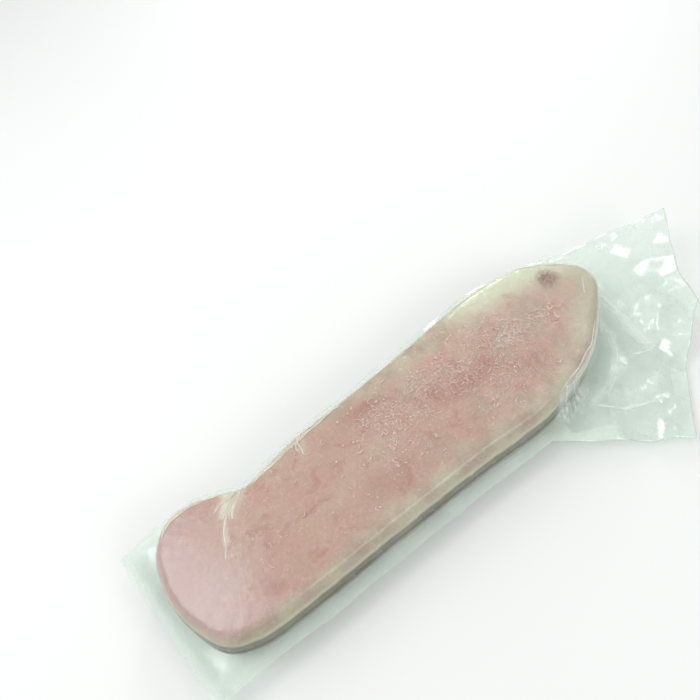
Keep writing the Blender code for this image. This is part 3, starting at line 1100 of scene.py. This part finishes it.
def filmMaterial(name, look, zoned=False):
    material, tree = nodeMaterial(name)
    coords = objectCoords(tree)
    wrinkles = noiseNode(tree, coords, 95.0, 4.0, 0.6, 0.9)
    crinkles = noiseNode(tree, coords, 420.0, 3.0, 0.6, 1.6)
    relief = plus(tree, wrinkles, times(tree, crinkles, 0.25))
    clouds = noiseNode(tree, coords, 26.0, 4.0, 0.6, 0.5)
    share = spread(tree, clouds, 0.30, 0.75, look["share"] * 0.6, look["share"] * 1.6)
    if zoned:
        zones = addNode(tree, "ShaderNodeAttribute", attribute_name="filmZones")
        crinkled, loose, hazeAndHighlight = list(partsOf(tree, zones.outputs["Color"]))[:3]
        line = curledLines(tree, coords, 0.0, 0.09)
        relief = plus(tree, relief, times(tree, times(tree, line, crinkled), 0.35))
        relief = times(tree, relief, maths(tree, "SUBTRACT", 1.0, times(tree, loose, 0.75)))
        share = times(tree, share, plus(tree, 1.0, times(tree, loose, 1.5)))
        # on the loose tail, Voronoi cells make some facets milkier than others: painted light and shade
        # standing in for facets turned towards and away from the lamps
        facets = addNode(tree, "ShaderNodeTexVoronoi", feature="F1")
        facets.inputs["Scale"].default_value = 21.0
        tree.links.new(coords, facets.inputs["Vector"])
        paintedFacetLight = spread(tree, partsOf(tree, facets.outputs["Color"])[0], 0.15, 0.90, 0.0, 0.20)
        share = plus(tree, share, times(tree, loose, paintedFacetLight))
        # milkier along the haze bands, which hold real milky film and painted highlights on the loose tail
        share = plus(tree, share, times(tree, hazeAndHighlight, 0.45))
    bump = addNode(tree, "ShaderNodeBump")
    bump.inputs["Strength"].default_value = look["bump"]
    bump.inputs["Distance"].default_value = 0.0010
    tree.links.new(relief, bump.inputs["Height"])

    clear = addNode(tree, "ShaderNodeBsdfTransparent")
    clear.inputs["Color"].default_value = (*look["tint"], 1.0)
    milky = addNode(tree, "ShaderNodeBsdfDiffuse")
    milky.inputs["Color"].default_value = (*look["haze"], 1.0)
    tree.links.new(bump.outputs["Normal"], milky.inputs["Normal"])
    veil = mixShaders(tree, share, clear.outputs["BSDF"], milky.outputs["BSDF"])

    gloss = addNode(tree, "ShaderNodeBsdfGlossy")
    gloss.inputs["Color"].default_value = (1.0, 1.0, 1.0, 1.0)
    gloss.inputs["Roughness"].default_value = look["roughness"]
    tree.links.new(bump.outputs["Normal"], gloss.inputs["Normal"])
    # both faces of the thin film shine alike, more at a slant
    slant = addNode(tree, "ShaderNodeLayerWeight")
    slant.inputs["Blend"].default_value = 0.5
    tree.links.new(bump.outputs["Normal"], slant.inputs["Normal"])
    rise = maths(tree, "POWER", slant.outputs["Facing"], 5.0)
    shine = times(tree, maths(tree, "MULTIPLY_ADD", rise, 0.75, 0.04), look["shine"])
    if zoned:
        shine = times(tree, shine, plus(tree, 0.45, times(tree, loose, 0.55)))
    finishWith(tree, mixShaders(tree, shine, veil, gloss.outputs["BSDF"]))
    return material


iceLook = {
    "tinged": (0.88, 0.80, 0.76),
    "pale": (0.95, 0.93, 0.90),
    "roughness": 0.18,
    "refraction": 1.5,
    "alpha": 0.72,
}


def iceMaterial():
    look = iceLook
    material, tree = nodeMaterial("frost_grain")
    tone = noiseNode(tree, objectCoords(tree), 700.0, 2.0)
    shader = addNode(tree, "ShaderNodeBsdfPrincipled")
    shader.inputs["Roughness"].default_value = look["roughness"]
    shader.inputs["IOR"].default_value = look["refraction"]
    shader.inputs["Alpha"].default_value = look["alpha"]
    tree.links.new(blendColour(tree, tone, look["tinged"], look["pale"]), shader.inputs["Base Color"])
    finishWith(tree, shader.outputs["BSDF"])
    return material


def dress(piece, material):
    piece.data.materials.append(material)
    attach(piece, "root")
    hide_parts("sealed_loin")


studio = {
    "cameraPlace": (-0.2075, -0.2587, 0.6777),
    "forward": (0.28888, 0.47158, -0.83316),
    "up": (0.56219, 0.62085, 0.54634),
    "lens": 41.14,
    "sensor": 36.0,
    "nearest": 0.02,
    "floorSize": 3.0,
    "floorHeight": -0.0006,
    "floorTones": ((0.86, 0.87, 0.86), (0.89, 0.90, 0.89)),
    "floorRoughness": 0.75,
    "airColour": (0.97, 1.0, 0.985),
    "airLight": 0.58,
    "lamps": (
        # place, aimed at, width, height, watts
        ((-0.62, 0.45, 1.00), (0.0, 0.0, 0.03), 0.80, 0.80, 6.5),
        ((0.75, 0.85, 0.55), (0.15, 0.0, 0.03), 0.12, 0.70, 3.6),
        ((0.30, -1.00, 0.80), (0.05, 0.0, 0.03), 0.80, 0.50, 3.8),
        ((0.92, 0.30, 1.02), (0.25, -0.03, 0.03), 0.25, 0.25, 0.7),
    ),
}


def makeFloor():
    bm = bmesh.new()
    bmesh.ops.create_grid(bm, x_segments=8, y_segments=8, size=studio["floorSize"])
    bmesh.ops.translate(bm, verts=bm.verts, vec=(0.0, 0.0, studio["floorHeight"]))
    floor = pieceFromBmesh("studio_floor", bm, smooth=False)
    material, tree = nodeMaterial("pale_floor")
    tone = noiseNode(tree, objectCoords(tree), 3.0, 2.0)
    shader = addNode(tree, "ShaderNodeBsdfPrincipled")
    shader.inputs["Roughness"].default_value = studio["floorRoughness"]
    tree.links.new(blendColour(tree, tone, *studio["floorTones"]), shader.inputs["Base Color"])
    finishWith(tree, shader.outputs["BSDF"])
    floor.data.materials.append(material)


def makeCamera():
    lens = bpy.data.cameras.new("camera")
    lens.lens = studio["lens"]
    lens.sensor_width = studio["sensor"]
    lens.clip_start = studio["nearest"]
    camera = bpy.data.objects.new("camera", lens)
    bpy.context.scene.collection.objects.link(camera)
    forward = Vector(studio["forward"]).normalized()
    right = forward.cross(Vector(studio["up"])).normalized()
    turn = Matrix((right, right.cross(forward), -forward)).transposed().to_4x4()
    camera.matrix_world = Matrix.Translation(Vector(studio["cameraPlace"])) @ turn
    bpy.context.scene.camera = camera


def makeStudio():
    makeFloor()
    world = bpy.data.worlds.new("studio_air")
    world.use_nodes = True
    air = world.node_tree.nodes["Background"]
    air.inputs["Color"].default_value = (*studio["airColour"], 1.0)
    air.inputs["Strength"].default_value = studio["airLight"]
    bpy.context.scene.world = world
    for i, (place, target, width, height, watts) in enumerate(studio["lamps"]):
        light = bpy.data.lights.new(f"softbox_{i}", "AREA")
        light.shape = "RECTANGLE"
        light.size = width
        light.size_y = height
        light.energy = watts
        lamp = bpy.data.objects.new(f"softbox_{i}", light)
        bpy.context.scene.collection.objects.link(lamp)
        lamp.location = place
        lamp.rotation_euler = (Vector(target) - Vector(place)).to_track_quat("-Z", "Y").to_euler()
    makeCamera()
    bpy.context.scene.view_settings.view_transform = "Standard"
    print("studio: floor,", len(studio["lamps"]), "lamps and camera")


makeStudio()
loin = makeLoin()
rimLines = [(rimPath(*rim[:4]), *rim[4:]) for rim in rimFolds]
film = makeFilm(filmHazeAndHighlightLines(rimLines))
skin = BVHTree.FromObject(film, bpy.context.evaluated_depsgraph_get())
folds = makeFolds("film_folds", skin, [*loinFolds, *rimLines])
creases = makeFolds("tail_creases", skin, tailCreases)
pleats = makeFolds("film_pleats", skin, gatheredPleats)
curls = makeCurls(skin)
grains = makeGrains(skin)

dress(loin, fleshMaterial())
dress(film, filmMaterial("clear_pouch_film", filmLook["pouch"], zoned=True))
dress(folds, filmMaterial("folded_film", filmLook["fold"]))
dress(creases, filmMaterial("creased_film", filmLook["crease"]))
dress(curls, filmMaterial("curled_film", filmLook["curl"]))
dress(pleats, filmMaterial("pleated_film", filmLook["pleat"]))
dress(grains, iceMaterial())
print("materials: done")
